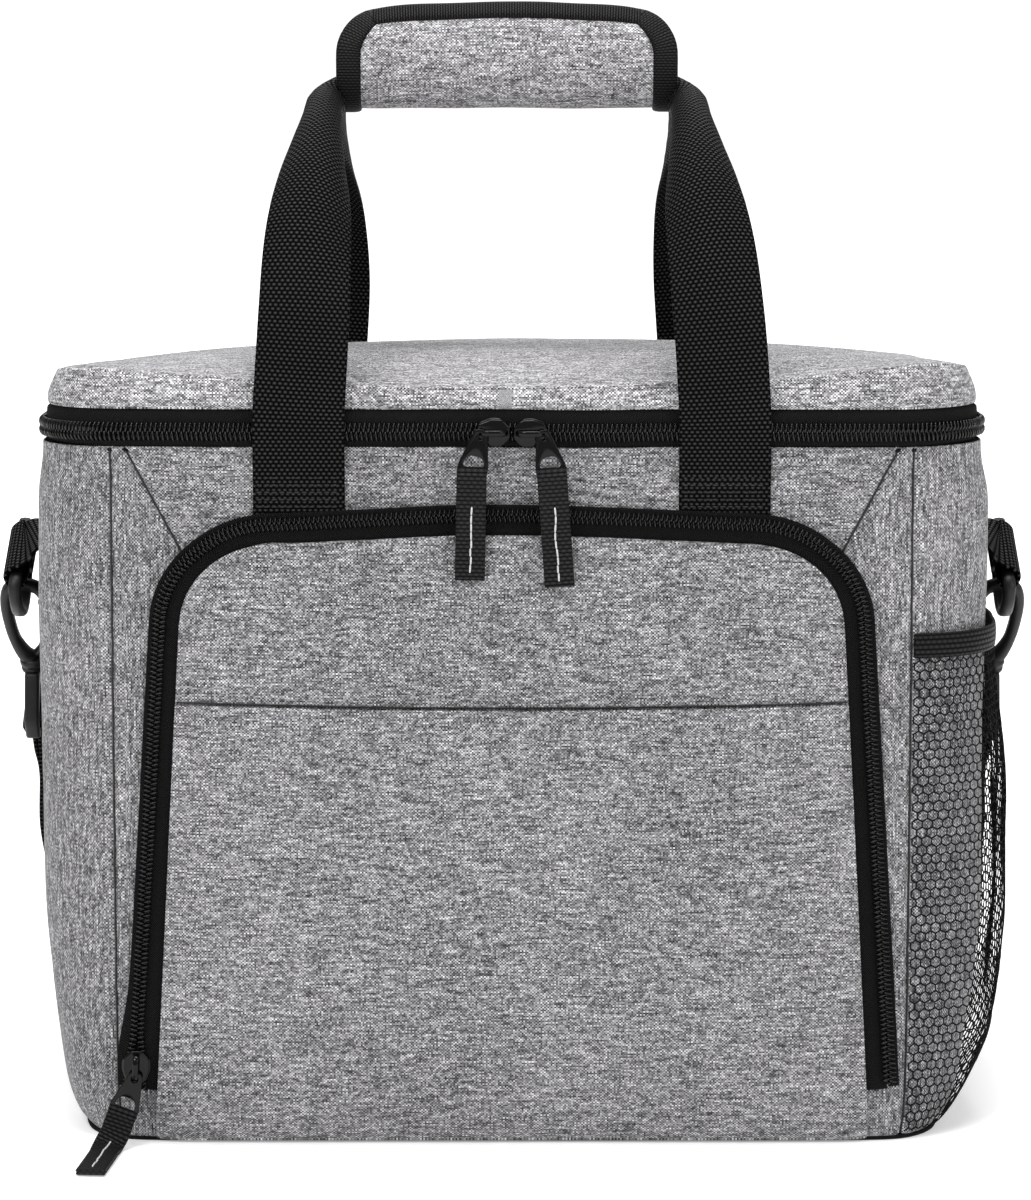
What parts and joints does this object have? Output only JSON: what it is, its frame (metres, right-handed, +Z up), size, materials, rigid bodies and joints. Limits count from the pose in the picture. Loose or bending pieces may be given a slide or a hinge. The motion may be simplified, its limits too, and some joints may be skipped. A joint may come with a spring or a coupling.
{
  "type": "insulated cooler bag",
  "caption": "Soft-sided insulated cooler bag with a zip-around lid, twin webbing handles joined by a padded grip, a zipped front pocket, a mesh side pocket and a shoulder strap.",
  "frame": {"origin": "centre of the base's underside, on the plane the bag stands on", "axes": "+Z up, -Y the front with the zipped pocket, +X the side with the mesh pocket"},
  "size_m": [0.458, 0.3261, 0.4765],
  "materials": {
    "heather_fabric": "matte",
    "foam": "matte",
    "liner_film": "satin",
    "black_fabric": "matte",
    "zip_tape": "matte",
    "zip_coil": "satin",
    "webbing": "matte",
    "black_metal": "satin",
    "black_plastic": "satin",
    "net": "matte",
    "elastic": "matte"
  },
  "bodies": {
    "bag": {"front_panel": "heather_fabric", "back_panel": "heather_fabric", "left_gusset": "heather_fabric", "right_gusset": "heather_fabric", "base_panel": "black_fabric", "base_piping": "black_fabric", "base_board": "black_plastic", "front_foam": "foam", "back_foam": "foam", "left_foam": "foam", "right_foam": "foam", "base_foam": "foam", "liner_tub": "liner_film", "lid_zip_lower_coil": "zip_coil", "lid_zip_lower_tape": "zip_tape", "lid_hinge_strip": "black_fabric", "front_sewn_webbing": "webbing", "back_sewn_webbing": "webbing", "pocket_zip_outer_tape": "zip_tape", "pocket_zip_outer_coil": "zip_coil", "mesh_pocket": "net", "mesh_pocket_elastic": "elastic", "left_side_tab": "webbing", "right_side_tab": "webbing", "left_d_ring": "black_plastic", "right_d_ring": "black_plastic"},
    "lid": {"lid_band": "heather_fabric", "lid_top_panel": "heather_fabric", "lid_foam": "foam", "lid_liner": "liner_film", "lid_zip_upper_coil": "zip_coil", "lid_zip_upper_tape": "zip_tape"},
    "front_handle": {"front_handle_loop": "webbing"},
    "back_handle": {"back_handle_loop": "webbing", "grip_wrap": "heather_fabric", "grip_pad_lower": "foam", "grip_pad_upper": "foam"},
    "grip_front": {"grip_flap": "heather_fabric", "grip_flap_binding": "black_fabric"},
    "left_lid_slider": {"lid_left_slider": "black_metal"},
    "right_lid_slider": {"lid_right_slider": "black_metal"},
    "left_lid_pull": {"lid_left_puller": "black_metal", "lid_left_pull_tab": "webbing"},
    "right_lid_pull": {"lid_right_puller": "black_metal", "lid_right_pull_tab": "webbing"},
    "pocket": {"pocket_panel": "heather_fabric", "slip_pocket": "heather_fabric", "pocket_zip_inner_tape": "zip_tape", "pocket_zip_inner_coil": "zip_coil"},
    "pocket_zip_slider": {"pocket_slider": "black_metal"},
    "pocket_pull": {"pocket_puller": "black_metal", "pocket_pull_tab": "webbing"},
    "shoulder_strap": {"shoulder_strap_webbing": "webbing", "left_strap_buckle": "black_plastic", "right_strap_buckle": "black_plastic"},
    "left_hook": {"left_snap_hook": "black_plastic"},
    "right_hook": {"right_snap_hook": "black_plastic"},
    "left_gate": {"left_hook_gate": "black_plastic"},
    "right_gate": {"right_hook_gate": "black_plastic"},
    "adjuster": {"strap_adjuster": "black_plastic"}
  },
  "joints": [
    {"name": "lid_hinge", "type": "hinge", "parent": "bag", "child": "lid", "pos_m": [0, 0.12, 0.301], "axis": [-1, 0, 0], "range_deg": [0, 100], "deforming": ["grip_flap", "grip_flap_binding"]},
    {"name": "front_handle_fold", "type": "hinge", "parent": "bag", "child": "front_handle", "pos_m": [0, -0.1233, 0.2875], "axis": [1, 0, 0], "range_deg": [0, 120]},
    {"name": "back_handle_fold", "type": "hinge", "parent": "bag", "child": "back_handle", "pos_m": [0, 0.1233, 0.2875], "axis": [-1, 0, 0], "range_deg": [0, 120]},
    {"name": "grip_flap_peel", "type": "hinge", "parent": "back_handle", "child": "grip_front", "pos_m": [0, -0.0231, 0.4313], "axis": [1, 0, 0], "range_deg": [0, 170]},
    {"name": "left_lid_slider_run", "type": "slide", "parent": "bag", "child": "left_lid_slider", "axis": [-1, 0, 0], "range_m": [0, 0.045]},
    {"name": "right_lid_slider_run", "type": "slide", "parent": "bag", "child": "right_lid_slider", "axis": [1, 0, 0], "range_m": [0, 0.045]},
    {"name": "left_lid_pull_swing", "type": "hinge", "parent": "left_lid_slider", "child": "left_lid_pull", "pos_m": [-0.0125, -0.1291, 0.301], "axis": [-1, 0, 0], "range_deg": [0, 165]},
    {"name": "right_lid_pull_swing", "type": "hinge", "parent": "right_lid_slider", "child": "right_lid_pull", "pos_m": [0.0125, -0.1291, 0.301], "axis": [-1, 0, 0], "range_deg": [0, 165]},
    {"name": "pocket_drop", "type": "hinge", "parent": "bag", "child": "pocket", "pos_m": [0, -0.1234, 0.014], "axis": [1, 0, 0], "range_deg": [0, 85], "deforming": ["lid_left_pull_tab", "lid_right_pull_tab"]},
    {"name": "pocket_slider_run", "type": "slide", "parent": "bag", "child": "pocket_zip_slider", "axis": [0.0476, 0, 0.9989], "range_m": [0, 0.15]},
    {"name": "pocket_pull_swing", "type": "hinge", "parent": "pocket_zip_slider", "child": "pocket_pull", "pos_m": [-0.157, -0.1306, 0.03498], "axis": [-0.9397, 0, 0.342], "range_deg": [0, 120]},
    {"name": "strap_swing", "type": "hinge", "parent": "bag", "child": "shoulder_strap", "pos_m": [0, 0, 0.236], "axis": [1, 0, 0], "range_deg": [0, 20]},
    {"name": "left_hook_swivel", "type": "hinge", "parent": "shoulder_strap", "child": "left_hook", "pos_m": [-0.218, 0, 0.236], "axis": [0, -0.6157, 0.788], "range_deg": [-25, 25]},
    {"name": "right_hook_swivel", "type": "hinge", "parent": "shoulder_strap", "child": "right_hook", "pos_m": [0.218, 0, 0.236], "axis": [0, -0.6157, 0.788], "range_deg": [-25, 25]},
    {"name": "left_gate_press", "type": "hinge", "parent": "left_hook", "child": "left_gate", "pos_m": [-0.2097, 0.03245, 0.19447], "axis": [0, -0.788, -0.6157], "range_deg": [0, 18], "stiffness_Nm_per_rad": 0.05},
    {"name": "right_gate_press", "type": "hinge", "parent": "right_hook", "child": "right_gate", "pos_m": [0.2097, 0.03245, 0.19447], "axis": [0, 0.788, 0.6157], "range_deg": [0, 18], "stiffness_Nm_per_rad": 0.05},
    {"name": "adjuster_slide", "type": "slide", "parent": "shoulder_strap", "child": "adjuster", "axis": [1, 0, 0], "range_m": [-0.08, 0.2]}
  ],
  "couplings": [
    {"joint": "front_handle_fold", "follows": "lid_hinge", "ratio": 1.2},
    {"joint": "back_handle_fold", "follows": "lid_hinge", "ratio": 1.2}
  ]
}
